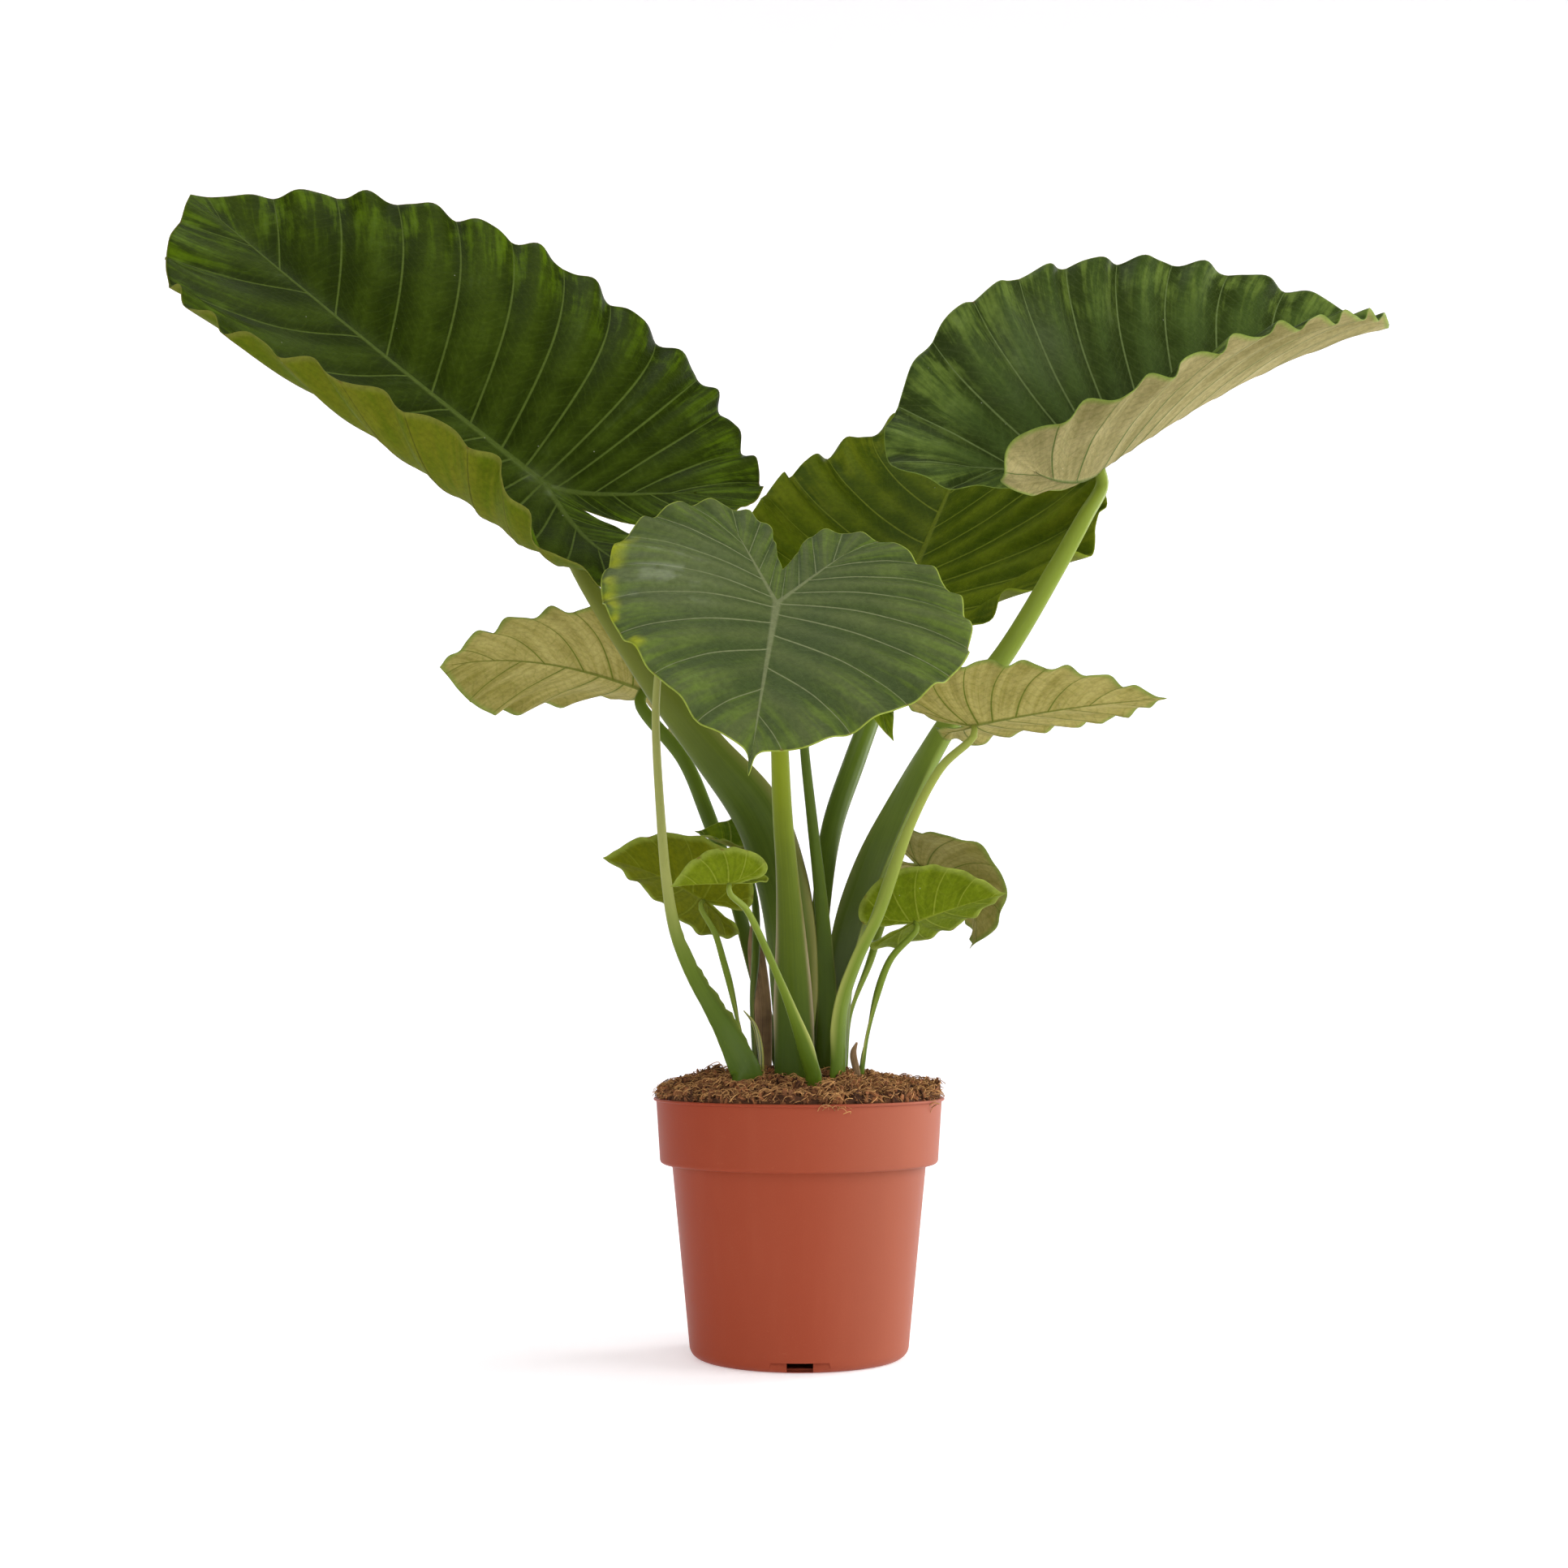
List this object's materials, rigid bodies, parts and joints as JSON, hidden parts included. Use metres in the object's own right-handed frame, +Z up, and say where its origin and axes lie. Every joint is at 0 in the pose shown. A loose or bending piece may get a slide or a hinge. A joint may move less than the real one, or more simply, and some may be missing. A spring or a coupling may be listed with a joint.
{
  "type": "giant taro",
  "caption": "Giant taro plant with large waved heart-shaped leaves on arching stems, standing in bark and coir soil in a round terracotta-coloured plastic nursery pot.",
  "frame": {"origin": "middle of the pot's flat underside", "axes": "+Z up along the pot's axis; the plant's front leaf faces -Y, and +X is to the right seen from the front"},
  "size_m": [1.1278, 0.762, 1.0278],
  "materials": {
    "pot_plastic": "moulded terracotta-coloured plastic, slightly satin, with a fine speckle",
    "soil": "loose coir fibre, bark chips and peat",
    "leaf_dark": "waxy dark green with pale veins, paler yellow-green underside",
    "leaf_grey_green": "matte grey-green with pale veins and a thin pale rim",
    "leaf_green": "semi-gloss green with pale veins",
    "leaf_pale": "matte pale green underside with raised veins",
    "stem_green": "smooth waxy green, darker low down",
    "young_sheath": "thin green sheath with yellow stripes",
    "dry_sheath": "dry brown papery sheath"
  },
  "bodies": {
    "root": {"pot": "pot_plastic", "soil": "soil", "blade_upper_left": "leaf_dark", "blade_upper_right": "leaf_dark", "blade_front": "leaf_grey_green", "blade_back": "leaf_green", "blade_middle_left": "leaf_pale", "blade_middle_right": "leaf_pale", "blade_hidden_left": "leaf_green", "blade_hidden_middle": "leaf_green", "blade_low_left": "leaf_green", "blade_young_left": "leaf_green", "blade_low_back": "leaf_green", "blade_low_right": "leaf_green", "blade_behind_right": "leaf_green", "stem_upper_left": "stem_green", "stem_upper_right": "stem_green", "stem_front": "stem_green", "stem_back": "stem_green", "stem_middle_left": "stem_green", "stem_middle_right": "stem_green", "stem_hidden_left": "stem_green", "stem_hidden_middle": "stem_green", "stem_low_left": "stem_green", "stem_young_left": "stem_green", "stem_low_back": "stem_green", "stem_low_right": "stem_green", "stem_behind_right": "stem_green", "striped_sheath": "young_sheath", "dry_sheath": "dry_sheath", "dry_scale": "dry_sheath"}
  },
  "joints": []
}
